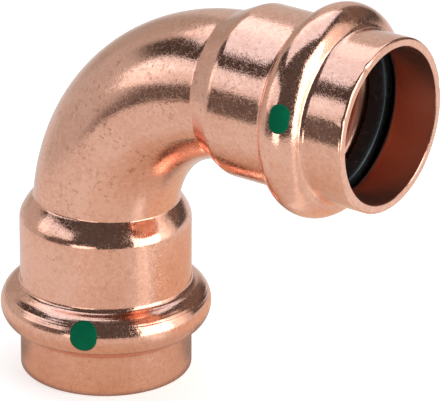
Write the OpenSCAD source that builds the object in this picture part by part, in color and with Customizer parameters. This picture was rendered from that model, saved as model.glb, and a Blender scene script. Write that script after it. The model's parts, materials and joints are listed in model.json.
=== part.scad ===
// Press-fit pipe elbow, a quarter turn with a socket for plain pipe at each end.
// The body is one drawn copper tube: each end is widened to a socket with a rolled bead,
// and a sealing ring sits in the groove inside the bead. A dot of paint lies on each bead.
// Sizes are in millimetres. The lower socket opens down, the upper socket opens toward +X.

/* [Pipe] */
// Outside diameter of the pipe that each socket takes
pipe_d = 22; // [18:0.5:28]
// Room between the pipe and the socket wall, on each side
socket_play = 0.1; // [0.05:0.01:0.3]
// Depth of the straight socket wall behind the mouth
socket_depth = 22.8; // [18:0.1:30]

/* [Tube] */
// Thickness of the tube wall
wall = 1.25; // [0.9:0.05:1.6]
// Radius of the bend at the tube's centre line
bend_r = 25.2; // [22:0.1:40]
// Run from the end of the socket wall to the start of the bend
bend_lead = 0.6; // [0.2:0.1:1.5]
// Rounding of the outer edge at each mouth
rim_round = 0.4; // [0.1:0.05:0.7]

/* [Shoulder] */
// Step from the socket down to the bent tube, on each side
shoulder_drop = 1.9; // [1.2:0.1:3]
// Outer radius of the shoulder's rounded start
shoulder_r = 3; // [2:0.1:4]
// Slope of the shoulder's cone against the pipe's axis
shoulder_angle = 37; // [30:1:50]

/* [Sealing ring] */
// Thickness of the ring
ring_section = 2.95; // [2:0.05:4]
// Distance that the ring stands into the socket bore
ring_proud = 0.15; // [0.05:0.01:0.25]
// Room between the ring and the crown of its groove
ring_seat_gap = 0.03; // [0.01:0.01:0.1]
// Room beside the ring in its groove, on each side
ring_side_room = 0.7; // [0.3:0.05:1.2]

/* [Bead] */
// Distance from the mouth to the crown of the bead
bead_pos = 9.8; // [8:0.1:12]
// Radius of the hollow fillet on each side of the bead
bead_fillet = 0.8; // [0.3:0.1:1.5]

/* [Paint marks] */
// Thickness of the paint
paint_film = 0.1; // [0.05:0.01:0.2]
// Width of the lower mark around the bead
lower_mark_around = 3.9; // [2:0.1:5]
// Width of the lower mark across the bead
lower_mark_across = 4.4; // [2:0.1:5]
// Turn of the lower mark around its socket, from the front
lower_mark_turn = 24.5; // [0:0.5:360]
// Lean of the lower mark from the bead's crown toward the bend
lower_mark_lean = 14; // [-20:1:20]
// Width of the upper mark around the bead
upper_mark_around = 4.1; // [2:0.1:5]
// Width of the upper mark across the bead
upper_mark_across = 2.8; // [2:0.1:5]
// Turn of the upper mark around its socket, from the front
upper_mark_turn = 14.5; // [0:0.5:360]
// Lean of the upper mark from the bead's crown toward the bend
upper_mark_lean = -21; // [-30:1:20]

/* [Hidden] */
$fn = 96;

socket_r = pipe_d / 2 + socket_play;
tube_r = socket_r + wall - shoulder_drop;
leg = socket_depth + bend_lead + bend_r;

ring_mid_r = socket_r - ring_proud + ring_section / 2;
groove_r = ring_mid_r + ring_section / 2 + ring_seat_gap;
groove_arc = ring_section / 2 + ring_side_room;
bead_mid_r = groove_r - groove_arc;
bead_arc = groove_arc + wall;

// Faces that blend into each other cross by this much, so that no sliver is left between them.
hair = 0.0005;
// The fillet's centre lies one groove arc and one inner fillet away from the bead's centre.
fillet_in = bead_fillet + wall;
fillet_mid_r = socket_r + fillet_in;
fillet_run = sqrt(pow(groove_arc + fillet_in - hair, 2) - pow(fillet_mid_r - bead_mid_r, 2));

shoulder_mid_r = socket_r + wall - shoulder_r;
cone_lap = 0.8;
mouth_cut = 1;

copper = [0.82, 0.53, 0.41];
seal_black = [0.07, 0.07, 0.07];
mark_green = [0.03, 0.34, 0.2];

// Half section of the bead: skin is 0 on its inner face and the wall on its outer face.
module bead_section(skin) {
    translate([bead_mid_r, bead_pos])
        circle(r = groove_arc + skin);
    difference() {
        translate([0, bead_pos])
            polygon([
                [socket_r - wall, -fillet_run],
                [fillet_mid_r, -fillet_run],
                [bead_mid_r, 0],
                [fillet_mid_r, fillet_run],
                [socket_r - wall, fillet_run]
            ]);
        for (side = [-1, 1])
            translate([fillet_mid_r, bead_pos + side * fillet_run])
                circle(r = fillet_in - skin);
    }
}

// Half section of the shoulder: a rounded start, then a cone that runs into the bent tube.
module shoulder_section(skin) {
    arc = shoulder_r - wall + skin;
    cone_top_r = shoulder_mid_r + (arc - hair) * cos(shoulder_angle);
    cone_end_r = tube_r - wall + skin - cone_lap;
    cone_start = (arc - hair) * sin(shoulder_angle);
    cone_end = cone_start + (cone_top_r - cone_end_r) / tan(shoulder_angle);
    translate([0, socket_depth])
        polygon([
            [0, 0],
            [shoulder_mid_r, 0],
            [cone_top_r, cone_start],
            [cone_end_r, cone_end],
            [0, cone_end]
        ]);
    translate([shoulder_mid_r, socket_depth])
        circle(r = arc);
}

// Half section of one socket, from below its mouth up into the bend.
module socket_section(skin, below) {
    translate([0, -below])
        square([socket_r + skin, socket_depth + below]);
    bead_section(skin);
    shoulder_section(skin);
}

// What the rounded rim leaves off the outer corner of the mouth.
module rim_corner() {
    difference() {
        translate([socket_r + wall - rim_round, -mouth_cut])
            square([rim_round + mouth_cut, rim_round + mouth_cut]);
        translate([socket_r + wall - rim_round, rim_round])
            circle(r = rim_round);
    }
}

// Moves a socket's pieces from the lower end to the upper end.
module to_upper_end() {
    translate([leg, 0, leg])
        rotate([0, -90, 0])
            children();
}

// The quarter bend as a solid rod.
module bend(r) {
    translate([bend_r, 0, leg - bend_r])
        rotate([90, 0, 0])
            rotate([0, 0, 90])
                rotate_extrude(angle = 90)
                    translate([bend_r, 0])
                        circle(r = r);
}

module socket_outside() {
    rotate_extrude()
        difference() {
            socket_section(wall, 0);
            rim_corner();
        }
}

module socket_inside() {
    rotate_extrude()
        socket_section(0, mouth_cut);
}

module seal_ring() {
    rotate_extrude()
        translate([ring_mid_r, bead_pos])
            circle(r = ring_section / 2);
}

// Outline of a mark, with round ends on its longer way.
module mark_outline(across, around) {
    d = min(across, around);
    run = [across - d, around - d];
    for (side = [-1, 1])
        translate(side * run / 2)
            circle(d = d);
    if (across > around)
        square([run[0], d], center = true);
    if (around > across)
        square([d, run[1]], center = true);
}

// A film of paint that follows the bead's round face.
module paint_mark(across, around, turn, lean) {
    intersection() {
        rotate_extrude()
            translate([bead_mid_r, bead_pos])
                difference() {
                    circle(r = bead_arc + paint_film);
                    circle(r = bead_arc);
                }
        rotate([0, 0, turn - 90])
            translate([bead_mid_r, 0, bead_pos])
                rotate([0, 90 - lean, 0])
                    linear_extrude(height = bead_arc + 2 * paint_film)
                        mark_outline(across, around);
    }
}

module elbow_body() {
    color(copper)
        difference() {
            union() {
                bend(tube_r);
                socket_outside();
                to_upper_end() socket_outside();
            }
            union() {
                bend(tube_r - wall);
                socket_inside();
                to_upper_end() socket_inside();
            }
        }
}

module lower_seal_ring() {
    color(seal_black) seal_ring();
}

module upper_seal_ring() {
    color(seal_black) to_upper_end() seal_ring();
}

module lower_paint_mark() {
    color(mark_green)
        paint_mark(lower_mark_across, lower_mark_around, lower_mark_turn, lower_mark_lean);
}

module upper_paint_mark() {
    color(mark_green)
        to_upper_end()
            paint_mark(upper_mark_across, upper_mark_around, upper_mark_turn, upper_mark_lean);
}

elbow_body();
lower_seal_ring();
upper_seal_ring();
lower_paint_mark();
upper_paint_mark();
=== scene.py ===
"""Press-fit pipe elbow in bright drawn copper: the dressed model around the solids, and its studio."""

import json
import logging
import math
from dataclasses import dataclass
from enum import Enum
from functools import cached_property
from typing import Any, Iterable, Union

import bpy
import numpy as np
from mathutils import Matrix, Vector


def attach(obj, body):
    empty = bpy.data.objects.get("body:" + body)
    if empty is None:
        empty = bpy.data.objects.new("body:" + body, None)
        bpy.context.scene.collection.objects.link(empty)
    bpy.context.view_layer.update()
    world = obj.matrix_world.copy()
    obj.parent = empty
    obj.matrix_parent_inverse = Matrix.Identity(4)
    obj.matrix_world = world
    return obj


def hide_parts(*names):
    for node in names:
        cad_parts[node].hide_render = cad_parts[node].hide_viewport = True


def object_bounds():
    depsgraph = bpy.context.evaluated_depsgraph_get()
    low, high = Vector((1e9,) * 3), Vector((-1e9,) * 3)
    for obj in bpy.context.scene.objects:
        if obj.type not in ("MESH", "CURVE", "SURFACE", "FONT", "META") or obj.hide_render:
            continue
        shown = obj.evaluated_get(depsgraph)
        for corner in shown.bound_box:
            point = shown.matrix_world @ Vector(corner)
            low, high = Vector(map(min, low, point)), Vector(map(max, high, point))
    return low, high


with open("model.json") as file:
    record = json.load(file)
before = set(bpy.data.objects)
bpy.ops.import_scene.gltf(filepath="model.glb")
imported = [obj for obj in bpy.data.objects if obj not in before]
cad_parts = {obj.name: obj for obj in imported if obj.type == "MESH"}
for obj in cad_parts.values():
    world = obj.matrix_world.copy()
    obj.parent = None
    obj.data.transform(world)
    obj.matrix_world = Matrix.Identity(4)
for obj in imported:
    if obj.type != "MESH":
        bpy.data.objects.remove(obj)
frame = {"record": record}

CAD_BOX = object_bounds()
LOG = logging.getLogger("elbow")
MM = 0.001
BODY = "root"
# Ways of the upper socket and of the lower one
OUT = (1.0, 0.0, 0.0)
UP = (0.0, 0.0, 1.0)
# Middle level of a noise, about which its values gather
NOISE_MIDDLE = 0.5
# Halvings of an interval where a distance is found by trial
HALVINGS = 40
MOUNTS: dict[str, dict[str, Any]] = {m["name"]: m for m in frame["record"]["mounts"]}

Colour = tuple[float, float, float, float]
Term = Union["Wire", float, tuple[float, ...]]


def rgb(red: float, green: float, blue: float) -> Colour:
    """A linear colour with full cover."""
    return (red, green, blue, 1.0)


# Tones that the room and the sheet at the foot share: the pale ground and a bright streak of light on it;
# on the sheet both are painted reflection, the streak a painted highlight
GROUND = rgb(0.72, 0.69, 0.66)
STREAK = rgb(0.95, 0.92, 0.87)


class Wire:
    """A shader socket that takes part in Python expressions: each operator adds one Math node."""

    def __init__(self, bench: "Bench", socket: bpy.types.NodeSocket) -> None:
        """Keeps the socket and the bench that it lies on."""
        self.bench = bench
        self.socket = socket

    def math(self, operation: str, *terms: Term) -> "Wire":
        """Adds a Math node.

        Args:
            operation: Name of the Math node's operation.
            *terms: Values or wires for its sockets, in order.

        Returns:
            The node's result.
        """
        return self.bench.node("ShaderNodeMath", {"operation": operation}, dict(enumerate(terms)))

    def __add__(self, other: Term) -> "Wire":
        """Sum of two values."""
        return self.math("ADD", self, other)

    def __radd__(self, other: Term) -> "Wire":
        """Sum with a number on the left."""
        return self.math("ADD", other, self)

    def __sub__(self, other: Term) -> "Wire":
        """Difference of two values."""
        return self.math("SUBTRACT", self, other)

    def __rsub__(self, other: Term) -> "Wire":
        """Difference from a number on the left."""
        return self.math("SUBTRACT", other, self)

    def __mul__(self, other: Term) -> "Wire":
        """Product of two values."""
        return self.math("MULTIPLY", self, other)

    def __rmul__(self, other: Term) -> "Wire":
        """Product with a number on the left."""
        return self.math("MULTIPLY", other, self)

    def step(self, low: float, high: float) -> "Wire":
        """Smooth rise from nought at low to one at high; it falls where low is the larger.

        Args:
            low: Value at which the rise starts.
            high: Value at which it ends.

        Returns:
            The smoothed step, from 0 to 1.
        """
        sockets = {"Value": self, "From Min": min(low, high), "From Max": max(low, high)}
        rise = self.bench.node("ShaderNodeMapRange", {"interpolation_type": "SMOOTHSTEP"}, sockets)
        return rise if low < high else 1.0 - rise

    def window(self, low: float, high: float, soft: float) -> "Wire":
        """One between two values, with soft edges.

        Args:
            low: Lower edge.
            high: Upper edge.
            soft: Half the width of each edge.

        Returns:
            The mask, from 0 to 1.
        """
        return self.step(low - soft, low + soft) * self.step(high + soft, high - soft)


class Bench:
    """The node tree of one material or of the world."""

    def __init__(self, tree: bpy.types.NodeTree) -> None:
        """Clears the tree."""
        self.tree = tree
        tree.nodes.clear()

    def node(
        self,
        kind: str,
        settings: dict[str, Any] | None = None,
        sockets: dict[Any, Term] | None = None,
        output: int | str = 0,
    ) -> Wire | None:
        """Adds one node.

        Args:
            kind: Blender's name of the node type.
            settings: Properties that are set before the sockets.
            sockets: Values or wires by socket name or place.
            output: Name or place of the output that is wanted.

        Returns:
            The output, or None where the node has none.
        """
        node = self.tree.nodes.new(kind)
        for name, value in (settings or {}).items():
            setattr(node, name, value)
        for key, value in (sockets or {}).items():
            if isinstance(value, Wire):
                self.tree.links.new(value.socket, node.inputs[key])
            else:
                node.inputs[key].default_value = value
        return Wire(self, node.outputs[output]) if node.outputs else None

    def mix(self, factor: Term, first: Term, second: Term) -> Wire:
        """Blends two colours.

        Args:
            factor: Share of the second colour.
            first: Colour at a factor of 0.
            second: Colour at a factor of 1.

        Returns:
            The blended colour.
        """
        factor_in, first_in, second_in, colour_out = 0, 6, 7, 2
        sockets = {factor_in: factor, first_in: first, second_in: second}
        return self.node("ShaderNodeMix", {"data_type": "RGBA"}, sockets, colour_out)

    def vector(self, operation: str, *terms: Term, output: int = 0) -> Wire:
        """Adds a Vector Math node.

        Args:
            operation: Name of its operation.
            *terms: Vectors for its sockets, in order.
            output: 0 for the vector, 1 for the number.

        Returns:
            The node's result.
        """
        return self.node("ShaderNodeVectorMath", {"operation": operation}, dict(enumerate(terms)), output)

    def dot(self, vector: Wire, axis: Iterable[float]) -> Wire:
        """Length of a vector along an axis."""
        return self.vector("DOT_PRODUCT", vector, tuple(axis), output=1)

    @cached_property
    def at(self) -> Wire:
        """The shaded point in the object's frame, in millimetres."""
        point = self.node("ShaderNodeTexCoord", output="Object")
        return self.vector("MULTIPLY", point, (1.0 / MM,) * 3)

    def noise(
        self,
        per_mm: float,
        detail: float = 2.0,
        rough: float = 0.5,
        swirl: float = 0.0,
        at: Wire | None = None,
    ) -> Wire:
        """Soft noise.

        Args:
            per_mm: Number of cells in a millimetre.
            detail: Number of finer layers.
            rough: Share that each finer layer adds.
            swirl: How far the cells are drawn out into fibres.
            at: Point in millimetres; the shaded one where none is given.

        Returns:
            Noise from 0 to 1.
        """
        return self.node("ShaderNodeTexNoise", None, {
            "Vector": self.at if at is None else at,
            "Scale": per_mm,
            "Detail": detail,
            "Roughness": rough,
            "Distortion": swirl,
        })

    def bump(self, height: Wire, depth_mm: float) -> Wire:
        """Normal of a bumpy surface.

        Args:
            height: Height, where one stands for the depth.
            depth_mm: Depth in millimetres.

        Returns:
            The bent normal.
        """
        sockets = {"Height": height, "Strength": 1.0, "Distance": depth_mm * MM}
        return self.node("ShaderNodeBump", None, sockets)

    def surface(self, sockets: dict[str, Term]) -> None:
        """Ends a material in one Principled shader with these sockets."""
        shader = self.node("ShaderNodeBsdfPrincipled", None, sockets)
        self.node("ShaderNodeOutputMaterial", None, {"Surface": shader})


def new_material(name: str) -> tuple[bpy.types.Material, Bench]:
    """Starts an empty material.

    Args:
        name: Name of the material.

    Returns:
        The material and the bench of its nodes.
    """
    material = bpy.data.materials.new(name)
    material.use_nodes = True
    return material, Bench(material.node_tree)


@dataclass(frozen=True)
class Speckle:
    """A noise and the two levels between which it rises from nought to one.

    Per_mm is the number of its cells in a millimetre; detail, rough and swirl are those of the noise.
    """

    per_mm: float
    low: float
    high: float
    detail: float = 2.0
    rough: float = 0.5
    swirl: float = 0.0

    def mask(self, bench: Bench) -> Wire:
        """One on the specks and nought beside them, on a material's bench."""
        noise = bench.noise(self.per_mm, self.detail, self.rough, self.swirl)
        return noise.step(self.low, self.high)


@dataclass(frozen=True)
class CopperFinish:
    """Bright drawn copper: a fine grain, lines of the draw, small pits, hairs and a slow drift of tone.

    Frosting is the added roughness of the duller grains, and grain_mm the depth of the grain in
    millimetres. Wear is the share of tarnish in the pits and hairs. A second share of tarnish, with
    added roughness, darkens a band of the bore behind each sealing ring: painted shade of that recess.
    Rolling is the height of the lines behind the beads against the grain's. Bead_back and the band
    behind each ring are stretches behind a mouth, with their start, end and soft edge in millimetres;
    pit_rise is the stretch over which the pits become more.
    """

    name: str
    bright: Colour
    dull: Colour
    tarnish: Colour
    roughness: float
    frosting: float
    grain_mm: float
    wear: float
    rolling: float = 0.0
    # Share of tarnish tone in the band of the bore behind each sealing ring, painted shade of that recess
    behind_ring_shade: float = 0.0
    frost: Speckle = Speckle(1.5, 0.47, 0.62, detail=3.0, rough=0.7, swirl=2.5)
    pits: Speckle = Speckle(1.4, 0.56, 0.67, detail=3.0, rough=0.65)
    pit_fields: Speckle = Speckle(0.16, 0.42, 0.62)
    hair_fields: Speckle = Speckle(0.8, 0.6, 0.66, detail=1.0)
    bead_back: tuple[float, float, float] = (10.6, 13.6, 0.7)
    behind_ring_band: tuple[float, float, float] = (11.2, 13.4, 0.4)
    pit_rise: tuple[float, float] = (4.0, 32.0)

    def depth(self, bench: Bench) -> Wire:
        """Distance behind the nearer mouth.

        Args:
            bench: The bench of the material.

        Returns:
            The distance in millimetres.
        """
        leg = MOUNTS["upper_socket"]["pos_m"][0] / MM
        rise = bench.dot(bench.at, UP)
        return rise.math("MINIMUM", rise, leg - bench.dot(bench.at, OUT))

    def rolling_lines(self, bench: Bench, depth: Wire) -> Wire:
        """Fine lines round the back of each bead, left by the roll.

        Args:
            bench: The bench of the material.
            depth: Distance behind the mouth in millimetres.

        Returns:
            Noise that is even round the leg, and nought away from the bead.
        """
        along = bench.node("ShaderNodeCombineXYZ", None, {"X": depth})
        return bench.noise(per_mm=2.4, at=along) * depth.window(*self.bead_back)

    def draw_lines(self, bench: Bench) -> Wire:
        """Faint lines along the straight part of each leg.

        Args:
            bench: The bench of the material.

        Returns:
            Noise drawn out along the legs, and an even middle value on the bend.
        """
        along, across, start, end = 0.05, 1.0, 23.0, 27.0
        lower_at = bench.vector("MULTIPLY", bench.at, (across, across, along))
        upper_at = bench.vector("MULTIPLY", bench.at, (along, across, across))
        lower = bench.noise(per_mm=2.6, at=lower_at) - NOISE_MIDDLE
        upper = bench.noise(per_mm=2.6, at=upper_at) - NOISE_MIDDLE
        on_lower = lower * bench.dot(bench.at, UP).step(end, start)
        return NOISE_MIDDLE + on_lower + upper * bench.dot(bench.at, OUT).step(start, end)

    def hairs(self, bench: Bench) -> Wire:
        """Short curled hairlines.

        Args:
            bench: The bench of the material.

        Returns:
            One on a hairline, nought beside it.
        """
        beside, on_line = 0.009, 0.003
        level = bench.noise(per_mm=0.55) - NOISE_MIDDLE
        line = level.math("ABSOLUTE", level).step(beside, on_line)
        return line * self.hair_fields.mask(bench)

    def marks(self, bench: Bench, depth: Wire) -> Wire:
        """Pits, which become more toward the bend, and hairs.

        Args:
            bench: The bench of the material.
            depth: Distance behind the mouth in millimetres.

        Returns:
            One on a mark, nought beside it.
        """
        at_mouth, off_field, hair_share = 0.15, 0.1, 0.8
        more = at_mouth + depth.step(*self.pit_rise) * (1.0 - at_mouth)
        field = off_field + self.pit_fields.mask(bench) * more * (1.0 - off_field)
        return self.pits.mask(bench) * field + self.hairs(bench) * hair_share

    def tone(self, bench: Bench) -> Wire:
        """Drift between the dull and the bright tone.

        Args:
            bench: The bench of the material.

        Returns:
            The colour of clean copper.
        """
        slow_share, fine_share, dull_level, bright_level = 0.4, 0.6, 0.42, 0.58
        slow = bench.noise(per_mm=0.11, detail=3.0)
        fine = bench.noise(per_mm=1.5, detail=3.0, rough=0.65)
        drift = slow * slow_share + fine * fine_share
        return bench.mix(drift.step(dull_level, bright_level), self.dull, self.bright)

    def material(self) -> bpy.types.Material:
        """Lays the nodes of the finish.

        Returns:
            The finished material.
        """
        peel_share, draw_share, mark_share = 0.4, 0.2, 0.6
        mark_frost, behind_ring_frost = 0.12, 0.2
        material, bench = new_material(self.name)
        depth = self.depth(bench)
        marks = self.marks(bench, depth)
        # Painted shade: a darker, duller band of the bore just behind each sealing ring
        behind_ring_shaded = depth.window(*self.behind_ring_band) * self.behind_ring_shade
        grain = bench.noise(per_mm=4.4, rough=0.6)
        peel = bench.noise(per_mm=1.1)
        lines = self.draw_lines(bench) * draw_share + self.rolling_lines(bench, depth) * self.rolling
        frost = self.frost.mask(bench) * self.frosting
        bench.surface({
            "Base Color": bench.mix(marks * self.wear + behind_ring_shaded, self.tone(bench), self.tarnish),
            "Metallic": 1.0,
            "Roughness": self.roughness + frost + marks * mark_frost + behind_ring_shaded * behind_ring_frost,
            "Normal": bench.bump(grain + peel * peel_share + lines - marks * mark_share, self.grain_mm),
        })
        return material


@dataclass(frozen=True)
class RubberFinish:
    """Black moulded rubber with a dull sheen and a trace of dust; skin_mm is the depth of its skin."""

    name: str = "seal_rubber_black"
    black: Colour = rgb(0.022, 0.027, 0.031)
    dusty: Colour = rgb(0.042, 0.05, 0.056)
    sheen: Colour = rgb(0.6, 0.88, 0.95)
    gloss: float = 0.7
    roughness: float = 0.22
    dust_frost: float = 0.1
    skin_mm: float = 0.004

    def material(self) -> bpy.types.Material:
        """Lays the nodes of the finish.

        Returns:
            The finished material.
        """
        clean, covered = 0.35, 0.75
        material, bench = new_material(self.name)
        dust = bench.noise(per_mm=0.5, detail=4.0, rough=0.6)
        skin = bench.noise(per_mm=5.0)
        bench.surface({
            "Base Color": bench.mix(dust.step(clean, covered), self.black, self.dusty),
            "Roughness": self.roughness + dust * self.dust_frost,
            "Specular IOR Level": self.gloss,
            "Specular Tint": self.sheen,
            "Normal": bench.bump(skin, self.skin_mm),
        })
        return material


@dataclass(frozen=True)
class PaintFinish:
    """Flat green marking paint, a little thinner in places; skin_mm is the depth of its skin."""

    name: str = "marking_paint_green"
    full: Colour = rgb(0.0018, 0.163, 0.071)
    thin: Colour = rgb(0.003, 0.187, 0.082)
    gloss: float = 0.06
    roughness: float = 0.6
    skin_frost: float = 0.12
    skin_mm: float = 0.008
    thin_spots: Speckle = Speckle(0.7, 0.4, 0.8, detail=3.0)

    def material(self) -> bpy.types.Material:
        """Lays the nodes of the finish.

        Returns:
            The finished material.
        """
        material, bench = new_material(self.name)
        skin = bench.noise(per_mm=3.0)
        bench.surface({
            "Base Color": bench.mix(self.thin_spots.mask(bench), self.full, self.thin),
            "Roughness": self.roughness + skin * self.skin_frost,
            "Specular IOR Level": self.gloss,
            "Normal": bench.bump(skin, self.skin_mm),
        })
        return material


class Skin(Enum):
    """The two faces of the tube's wall."""

    INNER = "inner"
    OUTER = "outer"


class Leg(Enum):
    """The two legs of the elbow."""

    LOWER = "lower"
    UPPER = "upper"


@dataclass(frozen=True)
class Nick:
    """A small dent in the outer edge of a mouth.

    Turn is its place round the mouth from the inner side of the bend, in degrees; the rest is in
    millimetres.
    """

    turn: float
    width: float
    depth: float


@dataclass(frozen=True)
class Shoulder:
    """Shape of a shoulder: a short rounding from the socket wall, then a flank that steepens to the bend.

    Early is how far before the end of the socket's depth the rounding starts and flank_r the flank's
    radius, in millimetres; slope is the angle where they meet, in degrees.
    """

    early: float
    slope: float
    flank_r: float


@dataclass(frozen=True)
class Fineness:
    """Numbers of points along the stretches of a half section, and of rows along half the bend."""

    wall: int
    fillet: int
    crown: int
    rounding: int
    flank: int
    bend: int


@dataclass
class Tube:
    """Sizes of the drawn tube, in millimetres and degrees."""

    socket_r: float = MOUNTS["lower_socket"]["dims"]["r_mm"]
    socket_depth: float = MOUNTS["lower_socket"]["dims"]["length_mm"]
    leg: float = MOUNTS["upper_socket"]["pos_m"][0] / MM
    wall: float = 1.25
    bend_r: float = 25.2
    rim_round: float = 0.4
    rim_break: float = 0.1
    shoulder_drop: float = 1.9
    shoulder_r: float = 3.0
    ring_section: float = 2.95
    ring_proud: float = 0.15
    ring_seat_gap: float = 0.03
    ring_side_room: float = 0.7
    bead_pos: float = 9.8
    bead_fillet: float = 0.8

    @property
    def tube_r(self) -> float:
        """Outer radius of the bent tube."""
        return self.socket_r + self.wall - self.shoulder_drop

    @property
    def bend_start(self) -> float:
        """Distance from a mouth to the start of the bend."""
        return self.leg - self.bend_r

    @property
    def ring_mid_r(self) -> float:
        """Radius of the sealing ring at the middle of its section."""
        return self.socket_r - self.ring_proud + self.ring_section / 2

    @property
    def groove_arc(self) -> float:
        """Radius of the groove's section."""
        return self.ring_section / 2 + self.ring_side_room

    @property
    def bead_mid_r(self) -> float:
        """Distance from the axis to the middle of the bead's section."""
        return self.ring_mid_r + self.ring_section / 2 + self.ring_seat_gap - self.groove_arc

    @property
    def bead_arc(self) -> float:
        """Outer radius of the bead's section."""
        return self.groove_arc + self.wall

    def at_leg(self, leg: Leg, points: np.ndarray) -> np.ndarray:
        """Turns points of the lower leg to a leg.

        Args:
            leg: The leg that the points go to.
            points: Points on the lower leg, one in a row.

        Returns:
            The points on that leg.
        """
        if leg is Leg.LOWER:
            return points
        return np.stack([self.leg - points[:, 2], points[:, 1], self.leg + points[:, 0]], axis=1)


def arc(middle: tuple[float, float], radius: float, start: float, end: float, count: int) -> np.ndarray:
    """Points on an arc in the half section, without its first point.

    Args:
        middle: Distance from the axis and from the mouth.
        radius: Radius of the arc.
        start: First angle in radians, from the direction away from the axis.
        end: Last angle.
        count: Number of points.

    Returns:
        Pairs of distance from the axis and from the mouth.
    """
    angle = np.linspace(start, end, count + 1)[1:]
    return np.stack([middle[0] + radius * np.cos(angle), middle[1] + radius * np.sin(angle)], axis=1)


def run(start: tuple[float, float], end: tuple[float, float], count: int) -> np.ndarray:
    """Points on a straight run in the half section, without its first point.

    Args:
        start: Distance from the axis and from the mouth at the start.
        end: The same at the end.
        count: Number of points.

    Returns:
        Pairs of distance from the axis and from the mouth.
    """
    share = np.linspace(0.0, 1.0, count + 1)[1:, None]
    return np.array(start) * (1.0 - share) + np.array(end) * share


def ring_row(distance: Union[float, np.ndarray], height: float, around: np.ndarray) -> np.ndarray:
    """Points of one row round the lower axis.

    Args:
        distance: Distance from the axis, the same for all the points or one for each.
        height: Distance from the mouth.
        around: Angles round the axis.

    Returns:
        The points, one in a row.
    """
    level = np.full_like(around, height)
    return np.stack([distance * np.cos(around), distance * np.sin(around), level], axis=1)


def dress(
    name: str, mesh: bpy.types.Mesh, materials: Iterable[bpy.types.Material], node: str
) -> bpy.types.Object:
    """Puts a mesh into the scene as the piece that stands for a node.

    Args:
        name: Name of the piece.
        mesh: Its mesh, in metres.
        materials: Its materials, in the order of the mesh's material places.
        node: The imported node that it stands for.

    Returns:
        The piece.
    """
    for material in materials:
        mesh.materials.append(material)
    piece = bpy.data.objects.new(name, mesh)
    bpy.context.scene.collection.objects.link(piece)
    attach(piece, BODY)
    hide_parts(node)
    mesh.calc_loop_triangles()
    LOG.info("%s: %d triangles, stands for %s", name, len(mesh.loop_triangles), node)
    return piece


def grid_faces(rows: int, columns: int, closed: bool) -> np.ndarray:
    """Quads of a grid whose columns run round.

    Args:
        rows: Number of rows.
        columns: Number of points in a row.
        closed: True where the last row joins the first.

    Returns:
        Four corners in each row.
    """
    first = np.arange(rows if closed else rows - 1)[:, None] * columns
    after = (np.arange(1, rows + 1 if closed else rows) % rows)[:, None] * columns
    here = np.arange(columns)[None]
    there = (here + 1) % columns
    corners = [first + here, first + there, after + there, after + here]
    return np.stack([np.broadcast_to(c, (first.shape[0], columns)).ravel() for c in corners], axis=1)


def make_mesh(
    name: str, points: np.ndarray, faces: np.ndarray, sharp_degrees: float = 180.0
) -> bpy.types.Mesh:
    """Makes a smooth mesh.

    Args:
        name: Name of the mesh.
        points: Points in millimetres.
        faces: Corners of each face.
        sharp_degrees: Edges that bend by more stay sharp.

    Returns:
        The mesh, in metres.
    """
    mesh = bpy.data.meshes.new(name)
    mesh.from_pydata((points * MM).tolist(), [], faces.tolist())
    mesh.shade_smooth()
    mesh.set_sharp_from_angle(angle=math.radians(sharp_degrees))
    return mesh


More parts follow.
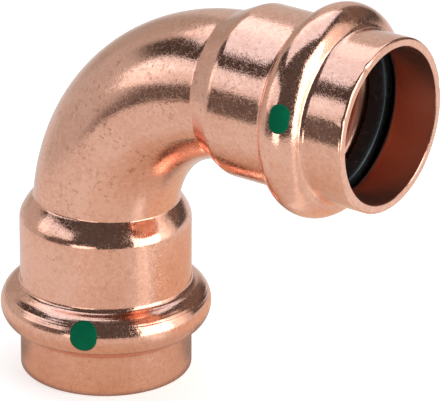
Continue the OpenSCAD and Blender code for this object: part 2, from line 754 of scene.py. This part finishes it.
@dataclass
class ElbowShell:
    """The copper body: two sockets with rolled beads, and the bend between them.

    Join_height is the distance from a mouth at which its section hands over to the bend, and crease_soft
    the rounding where they meet, in millimetres. Nick_lean is how far a nick presses toward the axis,
    against its depth.
    """

    tube: Tube
    columns: int = 192
    outer_points: Fineness = Fineness(wall=8, fillet=8, crown=36, rounding=12, flank=44, bend=30)
    inner_points: Fineness = Fineness(wall=5, fillet=8, crown=20, rounding=8, flank=20, bend=18)
    rim_points: int = 4
    edge_points: int = 8
    sharp_degrees: float = 38.0
    join_height: float = 28.0
    crease_soft: float = 0.1
    nick_lean: float = 0.5
    lower_shoulder: Shoulder = Shoulder(early=0.0, slope=27.0, flank_r=10.0)
    upper_shoulder: Shoulder = Shoulder(early=1.2, slope=26.0, flank_r=200.0)
    nicks: tuple[Nick, ...] = (
        Nick(210.0, 1.3, 0.28),
        Nick(229.0, 2.4, 0.12),
        Nick(249.0, 0.8, 0.26),
        Nick(100.0, 1.0, 0.16),
    )

    def points(self, skin: Skin) -> Fineness:
        """Numbers of points on a face of the wall."""
        return self.outer_points if skin is Skin.OUTER else self.inner_points

    def shoulder_start(self, shoulder: Shoulder) -> float:
        """Distance from a mouth to the rounding of its shoulder."""
        return self.tube.socket_depth - shoulder.early

    def section(self, skin: Skin, shoulder: Shoulder) -> np.ndarray:
        """Half section of one leg, from its mouth up to the join with the bend.

        Args:
            skin: The face of the wall.
            shoulder: Shape of its shoulder.

        Returns:
            Pairs of distance from the axis and from the mouth.
        """
        t = self.tube
        points = self.points(skin)
        outside = skin is Skin.OUTER
        over = t.wall if outside else 0.0
        wall_r = t.socket_r + over
        hollow = t.bead_fillet + t.wall
        hollow_r = t.socket_r + hollow
        reach = math.sqrt((t.groove_arc + hollow) ** 2 - (hollow_r - t.bead_mid_r) ** 2)
        lean = math.atan2(reach, hollow_r - t.bead_mid_r)
        low, high = t.bead_pos - reach, t.bead_pos + reach
        parts = []
        if outside:
            lip, edge = t.socket_r + t.rim_break, wall_r - t.rim_round
            parts += [np.array([[lip, 0.0]]), run((lip, 0.0), (edge, 0.0), self.rim_points)]
            parts += [arc((edge, t.rim_round), t.rim_round, -math.pi / 2, 0.0, self.edge_points)]
            parts += [run((wall_r, t.rim_round), (wall_r, low), points.wall)]
        else:
            parts += [np.array([[wall_r, t.rim_break]])]
            parts += [run((wall_r, t.rim_break), (wall_r, low), points.wall)]
        parts += [arc((hollow_r, low), hollow - over, math.pi, math.pi - lean, points.fillet)]
        parts += [arc((t.bead_mid_r, t.bead_pos), t.groove_arc + over, -lean, lean, points.crown)]
        parts += [arc((hollow_r, high), hollow - over, math.pi + lean, math.pi, points.fillet)]
        start, turn = self.shoulder_start(shoulder), math.radians(shoulder.slope)
        parts += [run((wall_r, high), (wall_r, start), points.wall)]
        round_r = t.shoulder_r - t.wall + over
        round_mid = t.socket_r + t.wall - t.shoulder_r
        parts += [arc((round_mid, start), round_r, 0.0, turn, points.rounding)]
        flank_r = shoulder.flank_r - t.wall + over
        shift = round_r - flank_r
        middle = (round_mid + shift * math.cos(turn), start + shift * math.sin(turn))
        end = math.asin((self.join_height - middle[1]) / flank_r)
        parts += [arc(middle, flank_r, turn, end, points.flank)]
        return np.vstack(parts)

    def bend_reach(self, radius: float, height: float, around: np.ndarray) -> np.ndarray:
        """Distance from the lower axis to the bent tube at one height.

        Args:
            radius: Radius of the tube's face.
            height: Distance from the mouth.
            around: Angles round the axis.

        Returns:
            The distance at each angle.
        """
        rise = max(height - self.tube.bend_start, 0.0)
        near, far = np.zeros_like(around), np.full_like(around, 2.0 * radius)
        for _ in range(HALVINGS):
            middle = (near + far) / 2
            offset = np.hypot(self.tube.bend_r - middle * np.cos(around), rise) - self.tube.bend_r
            outside = offset**2 + (middle * np.sin(around)) ** 2 > radius**2
            far = np.where(outside, middle, far)
            near = np.where(outside, near, middle)
        return near

    def half(self, skin: Skin, shoulder: Shoulder) -> list[np.ndarray]:
        """Rows of points on the lower half, from the mouth to the middle of the bend.

        Args:
            skin: The face of the wall.
            shoulder: Shape of its shoulder.

        Returns:
            One array of points for each row.
        """
        t = self.tube
        radius = t.tube_r - (0.0 if skin is Skin.OUTER else t.wall)
        around = np.linspace(0.0, 2 * math.pi, self.columns, endpoint=False)
        rows = []
        for reach, height in self.section(skin, shoulder):
            distance = np.full(self.columns, reach)
            if height > self.shoulder_start(shoulder):
                bend = self.bend_reach(radius, height, around)
                distance = (reach + bend + np.hypot(reach - bend, self.crease_soft)) / 2
            rows.append(ring_row(distance, height, around))
        last = rows[-1]
        across, rise = t.bend_r - last[:, 0], last[:, 2] - t.bend_start
        start = np.arctan2(rise, across)
        side = np.arctan2(last[:, 1], t.bend_r - np.hypot(across, rise))
        for share in np.linspace(0.0, 1.0, self.points(skin).bend + 1)[1:]:
            turn = start + share * (math.pi / 4 - start)
            ring = t.bend_r - radius * np.cos(side)
            rows.append(np.stack([
                t.bend_r - ring * np.cos(turn),
                radius * np.sin(side),
                t.bend_start + ring * np.sin(turn),
            ], axis=1))
        return rows

    def mirrored(self, rows: list[np.ndarray]) -> list[np.ndarray]:
        """Rows of the lower half turned into those of the upper half, from the bend to the mouth."""
        leg = self.tube.leg
        return [np.stack([leg - r[:, 2], r[:, 1], leg - r[:, 0]], axis=1) for r in reversed(rows[:-1])]

    def dented(self, rows: list[np.ndarray]) -> list[np.ndarray]:
        """Rows of the outer skin with the nicks pressed into the edge of the mouth.

        Args:
            rows: Rows from the mouth up.

        Returns:
            The rows with the nicks.
        """
        t = self.tube
        outer_r = t.socket_r + t.wall
        result = []
        for row in rows:
            reach = np.hypot(row[:, 0], row[:, 1])
            around = np.degrees(np.arctan2(row[:, 1], row[:, 0])) % 360.0
            outward = np.clip((reach - t.socket_r) / t.wall, 0.0, 1.0)
            edge = outward * np.clip(1.0 - row[:, 2] / (2 * t.rim_round), 0.0, 1.0)
            push = np.zeros_like(reach)
            for nick in self.nicks:
                gap = np.radians((around - nick.turn + 180.0) % 360.0 - 180.0) * outer_r / (nick.width / 2)
                push += nick.depth * np.exp(-gap**2)
            moved = row.copy()
            moved[:, 2] += push * edge
            moved[:, :2] *= (1.0 - self.nick_lean * push * edge / reach)[:, None]
            result.append(moved)
        return result

    def build(self, outside: bpy.types.Material, inside: bpy.types.Material) -> bpy.types.Object:
        """Builds the shell.

        Args:
            outside: Finish of the outer face and the rims.
            inside: Finish of the bore.

        Returns:
            The piece.
        """
        inner = self.half(Skin.INNER, self.lower_shoulder)
        upper = self.dented(self.half(Skin.OUTER, self.upper_shoulder))
        outer_rows = self.half(Skin.OUTER, self.lower_shoulder) + self.mirrored(upper)
        inner_rows = inner + self.mirrored(inner)
        rows = outer_rows + inner_rows[::-1]
        faces = grid_faces(len(rows), self.columns, closed=True)
        mesh = make_mesh("elbow_shell", np.vstack(rows), faces, self.sharp_degrees)
        row_of_face = np.repeat(np.arange(len(rows)), self.columns)
        in_bore = (row_of_face >= len(outer_rows)) & (row_of_face < len(rows) - 1)
        mesh.polygons.foreach_set("material_index", in_bore.astype(np.int32))
        return dress("elbow_shell", mesh, [outside, inside], "elbow_body")


@dataclass
class SealRing:
    """A rubber ring whose half toward the pipe is squarer, with a flat face between two rounded edges.

    Square is the power that squares that half, where 2 is round.
    """

    tube: Tube
    leg: Leg
    columns: int = 160
    section_points: int = 72
    square: float = 4.5

    def build(self, finish: bpy.types.Material) -> bpy.types.Object:
        """Builds the ring in its groove.

        Args:
            finish: Finish of the rubber.

        Returns:
            The piece.
        """
        t = self.tube
        angle = np.linspace(0.0, 2 * math.pi, self.section_points, endpoint=False)
        out, along = np.cos(angle), np.sin(angle)
        squared = (np.abs(out) ** self.square + np.abs(along) ** self.square) ** (-1.0 / self.square)
        radius = t.ring_section / 2 * np.where(out < 0.0, squared, 1.0)
        reach, height = t.ring_mid_r + radius * out, t.bead_pos + radius * along
        around = np.linspace(0.0, 2 * math.pi, self.columns, endpoint=False)
        rows = [ring_row(r, h, around) for r, h in zip(reach, height)]
        points = t.at_leg(self.leg, np.vstack(rows))
        mesh = make_mesh(f"{self.leg.value}_ring", points, grid_faces(len(rows), self.columns, closed=True))
        return dress(f"{self.leg.value}_ring", mesh, [finish], f"{self.leg.value}_seal_ring")


@dataclass
class PaintDot:
    """A dab of marking paint that follows the bead's round face; sizes in millimetres and degrees.

    Core is the size of the innermost row against the outline.
    """

    tube: Tube
    leg: Leg
    around: float
    across: float
    turn: float
    lean: float
    film: float = 0.1
    soft_edge: float = 0.3
    columns: int = 72
    rings: int = 14
    core: float = 0.02

    def outline(self, angle: np.ndarray) -> np.ndarray:
        """Outline with round ends on its longer way.

        Args:
            angle: Directions from the middle.

        Returns:
            Offsets across and around, one pair for each direction.
        """
        digits = 9
        radius = min(self.across, self.around) / 2
        spare = np.array([self.across / 2 - radius, self.around / 2 - radius])
        direction = np.stack([np.cos(angle), np.sin(angle)], axis=1)
        # Rounded, so that a direction along one way has no sign across it
        return direction * radius + np.sign(direction.round(digits)) * spare

    def on_bead(self, offsets: np.ndarray, lift: np.ndarray) -> np.ndarray:
        """Points over the bead.

        Args:
            offsets: Offsets across and around from the dot's middle.
            lift: Height of each point over the bead's face.

        Returns:
            Points on the lower leg.
        """
        t = self.tube
        past_bead = 1.0
        lean, turn = math.radians(self.lean), math.radians(self.turn - 90.0)
        out = np.array([math.cos(lean), 0.0, math.sin(lean)])
        aside = np.array([math.sin(lean), 0.0, -math.cos(lean)])
        base = np.array([t.bead_mid_r, 0.0, t.bead_pos]) + offsets[:, :1] * aside
        base = base + offsets[:, 1:] * np.array([0.0, 1.0, 0.0])
        near, far = np.zeros(len(lift)), np.full(len(lift), t.bead_arc + past_bead)
        for _ in range(HALVINGS):
            middle = (near + far) / 2
            point = base + middle[:, None] * out
            gap = np.hypot(np.hypot(point[:, 0], point[:, 1]) - t.bead_mid_r, point[:, 2] - t.bead_pos)
            outside = gap > t.bead_arc + lift
            far = np.where(outside, middle, far)
            near = np.where(outside, near, middle)
        point = base + near[:, None] * out
        cos, sin = math.cos(turn), math.sin(turn)
        return np.stack([
            point[:, 0] * cos - point[:, 1] * sin,
            point[:, 0] * sin + point[:, 1] * cos,
            point[:, 2],
        ], axis=1)

    def build(self, finish: bpy.types.Material) -> bpy.types.Object:
        """Builds the dot as a thin closed film.

        Args:
            finish: Finish of the paint.

        Returns:
            The piece.
        """
        angle = np.linspace(0.0, 2 * math.pi, self.columns, endpoint=False)
        edge = self.outline(angle)
        half_width = min(self.across, self.around) / 2
        top, bottom = [], []
        for share in np.linspace(self.core, 1.0, self.rings):
            inward = (1.0 - share) * half_width
            rise = math.sqrt(max(0.0, 1.0 - max(0.0, 1.0 - inward / self.soft_edge) ** 2))
            top.append(self.on_bead(edge * share, np.full(self.columns, self.film * rise)))
            bottom.append(self.on_bead(edge * share, np.zeros(self.columns)))
        rows = top[:-1] + bottom[::-1]
        points = self.tube.at_leg(self.leg, np.vstack(rows))
        faces = [list(face) for face in grid_faces(len(rows), self.columns, closed=False)]
        last = (len(rows) - 1) * self.columns
        faces += [list(range(self.columns))[::-1], list(range(last, last + self.columns))]
        mesh = bpy.data.meshes.new(f"{self.leg.value}_dot")
        mesh.from_pydata((points * MM).tolist(), [], faces)
        mesh.shade_smooth()
        return dress(f"{self.leg.value}_dot", mesh, [finish], f"{self.leg.value}_paint_mark")


@dataclass
class PhotoCamera:
    """The camera at the photograph's viewing angle; angles in degrees, lengths in millimetres.

    It aims at shares of the leg along the upper socket and up the lower one; right and up then shift it in
    its own plane. Clip holds the nearest and farthest distance that it sees, in metres.
    """

    leg: float
    azimuth: float = 35.52
    elevation: float = 23.369
    roll: float = 0.287
    distance: float = 684.2
    right: float = -1.437
    up: float = 1.504
    focal_px: float = 4880.8
    width_px: float = 440.0
    sensor: float = 36.0
    aim: tuple[float, float] = (0.45, 0.6)
    clip: tuple[float, float] = (0.01, 20.0)

    def axes(self) -> tuple[Vector, Vector, Vector]:
        """Ways of the camera, with its roll.

        Returns:
            Unit vectors to its right, up and back.
        """
        heading, height, roll = (math.radians(a) for a in (self.azimuth, self.elevation, self.roll))
        level = math.cos(height)
        back = Vector((math.sin(heading) * level, -math.cos(heading) * level, math.sin(height)))
        side = Vector((math.cos(heading), math.sin(heading), 0.0))
        top = back.cross(side)
        right = side * math.cos(roll) + top * math.sin(roll)
        return right, top * math.cos(roll) - side * math.sin(roll), back

    def build(self) -> bpy.types.Object:
        """Builds the camera and makes it the scene's camera.

        Returns:
            The camera's object.
        """
        side, top, back = self.axes()
        middle = Vector((self.aim[0] * self.leg, 0.0, self.aim[1] * self.leg))
        eye = (middle + back * self.distance + side * self.right + top * self.up) * MM
        lens = bpy.data.cameras.new("photo_camera")
        lens.sensor_fit = "HORIZONTAL"
        lens.sensor_width = self.sensor
        lens.lens = self.focal_px * self.sensor / self.width_px
        lens.clip_start, lens.clip_end = self.clip
        camera = bpy.data.objects.new("photo_camera", lens)
        camera.matrix_world = Matrix.Translation(eye) @ Matrix((side, top, back)).transposed().to_4x4()
        bpy.context.scene.collection.objects.link(camera)
        bpy.context.scene.camera = camera
        return camera


@dataclass(frozen=True)
class SoftBox:
    """A flat soft light.

    Place is its middle to the right of the part's middle, in front of it and above it, in metres, as the
    camera sees it. Facing is the direction that it turns its back to, in degrees to the right from the
    camera's heading and up from level. Size is its width and height in metres. Glow is the brightness of
    its face, where 1 is white.
    """

    name: str
    place: tuple[float, float, float]
    facing: tuple[float, float]
    size: tuple[float, float]
    glow: tuple[float, float, float]


@dataclass(frozen=True)
class RoomZone:
    """A part of the room that the metal mirrors.

    Start and end are turns to the right from the camera's heading, bottom and top heights over level, and
    soft half the width of the edges, all in degrees.
    """

    name: str
    start: float
    end: float
    bottom: float
    top: float
    soft: float
    colour: Colour


@dataclass
class Studio:
    """A pale floor, soft lights and a dim room with a pale ground and a white back.

    The sheet at the foot, a painted reflection of the floor with painted shade and painted warm light off
    the copper, and the room are what the copper mirrors. Each zone of the room lies over those before it.
    The turns by the foot hold a start, an end and a soft edge, in degrees to the right from the camera's
    heading; the lengths are in metres.
    """

    camera: PhotoCamera
    centre: Vector
    floor_half: float = 3.0
    floor_colour: Colour = rgb(0.85, 0.84, 0.82)
    floor_glow: float = 0.6
    foot_half: float = 0.07
    # Tones of the painted reflection by the foot: painted shade of the part, painted warm light off the
    # copper and painted shadow
    foot_shaded_tone: Colour = rgb(0.58, 0.45, 0.36)
    foot_shaded_close: Colour = rgb(0.568, 0.419, 0.31)
    foot_shaded_front: Colour = rgb(0.685, 0.62, 0.56)
    foot_copper_bounce: Colour = rgb(0.74, 0.57, 0.44)
    foot_shade: Colour = rgb(0.3, 0.25, 0.22)
    front_turn: tuple[float, float, float] = (-32.0, 28.0, 12.0)
    copper_bounce_turn: tuple[float, float, float] = (62.0, 150.0, 9.0)
    streak_turn: tuple[float, float, float] = (40.0, 55.0, 5.0)
    white: Colour = rgb(1.0, 1.0, 1.0)
    dim: Colour = rgb(0.09, 0.083, 0.08)
    boxes: tuple[SoftBox, ...] = (
        SoftBox("left_window", (-0.77, 0.219, 0.42), (-72.5, 0.0), (0.846, 0.26), (0.93, 1.03, 1.13)),
        SoftBox("left_sill", (-0.77, 0.219, 0.24), (-72.5, 0.0), (0.846, 0.1), (0.78, 0.81, 0.85)),
        SoftBox("left_corner", (-0.816, 0.072, 0.13), (-72.5, 0.0), (0.342, 0.12), (0.7, 0.72, 0.75)),
        SoftBox("overhead", (0.01, -0.315, 0.75), (0.0, 90.0), (0.9, 0.89), (0.92, 1.08, 1.26)),
        SoftBox("overhead_left", (-0.545, -0.115, 0.75), (0.0, 90.0), (0.21, 0.49), (0.92, 1.08, 1.26)),
        SoftBox("overhead_back", (-0.545, -0.52, 0.75), (0.0, 90.0), (0.21, 0.32), (0.68, 0.72, 0.8)),
        SoftBox("right_key", (0.667, 0.442, 0.24), (56.5, 0.0), (0.535, 0.97), (2.6, 2.6, 2.6)),
        SoftBox("low_card", (-0.25, 0.433, -0.098), (-30.0, 0.0), (0.27, 0.11), (1.8, 1.8, 1.8)),
    )
    zones: tuple[RoomZone, ...] = (
        RoomZone("dark_left", -130.0, -50.0, -20.0, 60.0, 4.0, rgb(0.07, 0.062, 0.058)),
        RoomZone("gap_under_window", -90.0, -50.0, -20.0, 15.0, 3.0, rgb(0.135, 0.12, 0.11)),
        RoomZone("left_wall_low", -145.0, -84.0, -30.0, 24.0, 5.0, rgb(0.53, 0.52, 0.5)),
        RoomZone("left_wall_high", -150.0, -128.0, 15.0, 54.0, 4.0, rgb(0.5, 0.48, 0.45)),
        RoomZone("back_corner", -168.0, -141.0, -30.0, 60.0, 8.0, rgb(0.43, 0.41, 0.37)),
        RoomZone("back_wall_left", -250.0, -167.0, -30.0, 60.0, 6.0, rgb(0.6, 0.6, 0.58)),
        RoomZone("back_wall_right", 158.0, 250.0, -30.0, 60.0, 8.0, rgb(0.6, 0.6, 0.58)),
        RoomZone("dark_right", 108.0, 158.0, 12.0, 42.0, 5.0, rgb(0.17, 0.135, 0.115)),
        RoomZone("right_card", 64.0, 106.0, -30.0, 44.0, 4.0, rgb(0.82, 0.76, 0.7)),
        RoomZone("right_card_middle", 66.0, 92.0, -12.0, 38.0, 8.0, rgb(1.4, 1.35, 1.3)),
        RoomZone("right_wall_low", 100.0, 160.0, -30.0, -3.0, 5.0, rgb(0.7, 0.7, 0.7)),
        RoomZone("ground", -250.0, 250.0, -100.0, -15.7, 2.0, GROUND),
        RoomZone("ground_right", 80.0, 125.0, -60.0, -15.0, 8.0, rgb(0.82, 0.84, 0.83)),
        RoomZone("ground_streak", 46.0, 61.0, -60.0, -15.0, 6.0, STREAK),
        RoomZone("ground_back_left", -250.0, -134.0, -42.0, -5.0, 10.0, rgb(0.68, 0.68, 0.67)),
        RoomZone("ground_back_right", 142.0, 250.0, -42.0, -5.0, 10.0, rgb(0.8, 0.8, 0.8)),
    )

    def heading(self) -> tuple[Vector, Vector]:
        """Level ways as the camera sees them.

        Returns:
            Unit vectors to its right and toward it.
        """
        angle = math.radians(self.camera.azimuth)
        right = Vector((math.cos(angle), math.sin(angle), 0.0))
        return right, Vector((math.sin(angle), -math.cos(angle), 0.0))

    def soft_box(self, box: SoftBox) -> bpy.types.Object:
        """Hangs one rectangular light that the camera doesn't see.

        Args:
            box: Its place, size and brightness.

        Returns:
            The light's object.
        """
        right, front = self.heading()
        up = Vector(UP)
        turn, rise = (math.radians(a) for a in box.facing)
        level = right * math.sin(turn) + front * math.cos(turn)
        away = level * math.cos(rise) + up * math.sin(rise)
        side = right * math.cos(turn) - front * math.sin(turn)
        place = self.centre + right * box.place[0] + front * box.place[1] + up * box.place[2]
        peak = max(box.glow)
        lamp = bpy.data.lights.new(box.name, "AREA")
        lamp.shape = "RECTANGLE"
        lamp.size, lamp.size_y = box.size
        lamp.energy = math.pi * lamp.size * lamp.size_y * peak
        lamp.color = tuple(g / peak for g in box.glow)
        light = bpy.data.objects.new(box.name, lamp)
        turned = Matrix((side, away.cross(side), away)).transposed()
        light.matrix_world = Matrix.Translation(place) @ turned.to_4x4()
        light.visible_camera = False
        bpy.context.scene.collection.objects.link(light)
        LOG.info("light %s", box.name)
        return light

    def sheet(self, name: str, half: float, material: bpy.types.Material) -> bpy.types.Object:
        """Lays a square sheet under the part as a piece of the stage.

        Args:
            name: Name of the sheet.
            half: Half its width in metres.
            material: Its material.

        Returns:
            The sheet's object.
        """
        mesh = bpy.data.meshes.new(name)
        corners = [(-half, -half, 0.0), (half, -half, 0.0), (half, half, 0.0), (-half, half, 0.0)]
        mesh.from_pydata(corners, [], [(0, 1, 2, 3)])
        mesh.materials.append(material)
        sheet = bpy.data.objects.new(name, mesh)
        sheet.visible_shadow = False
        bpy.context.scene.collection.objects.link(sheet)
        return sheet

    def floor(self) -> bpy.types.Object:
        """Lays the floor, white to the camera but for the part's shadow; the room holds its mirrored image.

        Returns:
            The floor's object.
        """
        material, bench = new_material("floor_pale")
        camera = bench.node("ShaderNodeLightPath", output="Is Camera Ray")
        clear = bench.node("ShaderNodeLightPath", output="Is Transmission Ray")
        lit = bench.node("ShaderNodeBsdfDiffuse", None, {"Color": self.floor_colour})
        glow = bench.node("ShaderNodeEmission", None, {
            "Color": self.white, "Strength": (camera + clear) * self.floor_glow,
        })
        both = bench.node("ShaderNodeAddShader", None, {0: lit, 1: glow})
        bench.node("ShaderNodeOutputMaterial", None, {"Surface": both})
        floor = self.sheet("floor", self.floor_half, material)
        floor.visible_glossy = False
        return floor

    def foot(self) -> bpy.types.Object:
        """Lays a glowing sheet by the foot that the metal mirrors as the floor: a painted reflection, with
        painted shade and painted warm light off the copper.

        Distances are from the foot's middle, in metres.

        Returns:
            The sheet's object, which the camera doesn't see.
        """
        fade_start, fade_end = 0.01, 0.045
        warm_start, warm_full, warm_end = 0.016, 0.035, 0.05
        streak_start, streak_full = 0.022, 0.034
        shade_before, shade_behind, shade_end, shade_full = -0.004, 0.003, 0.03, 0.014
        rim_end, rim_full = 0.014, 0.0124
        material, bench = new_material("floor_foot")
        spot = bench.node("ShaderNodeTexCoord", output="Object")
        reach = bench.vector("LENGTH", spot, output=1)
        right, front = self.heading()
        beside, behind = bench.dot(spot, right), bench.dot(spot, -front)
        turn = beside.math("ARCTAN2", beside, behind * -1.0) * math.degrees(1.0)
        # Painted shade near the foot, fading into the pale ground farther out; in front it stays warmer and
        # darker than the ground
        before = turn.window(*self.front_turn)
        close = bench.mix(before, self.foot_shaded_tone, self.foot_shaded_close)
        far = bench.mix(before, GROUND, self.foot_shaded_front)
        tone = bench.mix(reach.step(fade_start, fade_end), close, far)
        # Painted warm light off the copper, on the floor to the right
        warm = reach.step(warm_start, warm_full) * reach.step(self.foot_half, warm_end)
        tone = bench.mix(turn.window(*self.copper_bounce_turn) * warm, tone, self.foot_copper_bounce)
        # Painted highlight: a bright streak of light on the floor
        streak = turn.window(*self.streak_turn) * reach.step(streak_start, streak_full)
        tone = bench.mix(streak, tone, STREAK)
        # Painted shadow of the part behind the foot, and a painted dark line of contact at its rim
        shaded = behind.step(shade_before, shade_behind) * reach.step(shade_end, shade_full)
        tone = bench.mix(shaded, tone, self.foot_shade)
        tone = bench.mix(reach.step(rim_end, rim_full), tone, self.foot_shade)
        glow = bench.node("ShaderNodeEmission", None, {"Color": tone, "Strength": 1.0})
        bench.node("ShaderNodeOutputMaterial", None, {"Surface": glow})
        foot = self.sheet("foot", self.foot_half, material)
        foot.visible_camera = False
        foot.visible_diffuse = False
        foot.visible_transmission = False
        return foot

    def room(self) -> bpy.types.World:
        """Paints the room: white to the camera, and the zones to the metal.

        Returns:
            The world.
        """
        world = bpy.data.worlds.new("studio")
        world.use_nodes = True
        bench = Bench(world.node_tree)
        right, front = self.heading()
        way = bench.node("ShaderNodeTexCoord", output="Generated")
        ahead, aside, rise = bench.dot(way, front), bench.dot(way, right), bench.dot(way, UP)
        turn = aside.math("ARCTAN2", aside, ahead) * math.degrees(1.0)
        height = rise.math("ARCSINE", rise) * math.degrees(1.0)
        seen = self.dim
        for zone in self.zones:
            between = turn.window(zone.start, zone.end, zone.soft)
            seen = bench.mix(between * height.window(zone.bottom, zone.top, zone.soft), seen, zone.colour)
        camera = bench.node("ShaderNodeLightPath", output="Is Camera Ray")
        clear = bench.node("ShaderNodeLightPath", output="Is Transmission Ray")
        colour = bench.mix(camera + clear, seen, self.white)
        shade = bench.node("ShaderNodeBackground", None, {"Color": colour, "Strength": 1.0})
        bench.node("ShaderNodeOutputWorld", None, {"Surface": shade})
        bpy.context.scene.world = world
        return world

    def build(self) -> None:
        """Sets up the room, the floor and the lights."""
        self.room()
        self.floor()
        self.foot()
        for box in self.boxes:
            self.soft_box(box)


def main() -> None:
    """Builds the camera, the pieces in order and the studio."""
    logging.basicConfig(level=logging.INFO, format="%(name)s: %(message)s")
    bpy.context.scene.view_settings.view_transform = "Standard"
    tube = Tube()
    camera = PhotoCamera(tube.leg)
    camera.build()
    outside = CopperFinish(
        "copper_bright",
        bright=rgb(1.0, 0.58, 0.445), dull=rgb(0.915, 0.495, 0.365), tarnish=rgb(0.36, 0.14, 0.085),
        roughness=0.045, frosting=0.25, grain_mm=0.011, wear=0.5, rolling=6.0,
    )
    inside = CopperFinish(
        "copper_bore",
        bright=rgb(0.97, 0.555, 0.425), dull=rgb(0.94, 0.52, 0.39), tarnish=rgb(0.4, 0.18, 0.12),
        roughness=0.28, frosting=0.06, grain_mm=0.006, wear=0.15, behind_ring_shade=0.1,
    )
    rubber, paint = RubberFinish().material(), PaintFinish().material()
    ElbowShell(tube).build(outside.material(), inside.material())
    for leg in Leg:
        SealRing(tube, leg).build(rubber)
    PaintDot(tube, Leg.LOWER, around=3.9, across=4.4, turn=24.5, lean=14.0).build(paint)
    PaintDot(tube, Leg.UPPER, around=4.1, across=2.8, turn=14.5, lean=-21.0).build(paint)
    low, high = CAD_BOX
    Studio(camera, (Vector(low) + Vector(high)) / 2).build()


if __name__ == "__main__":
    main()
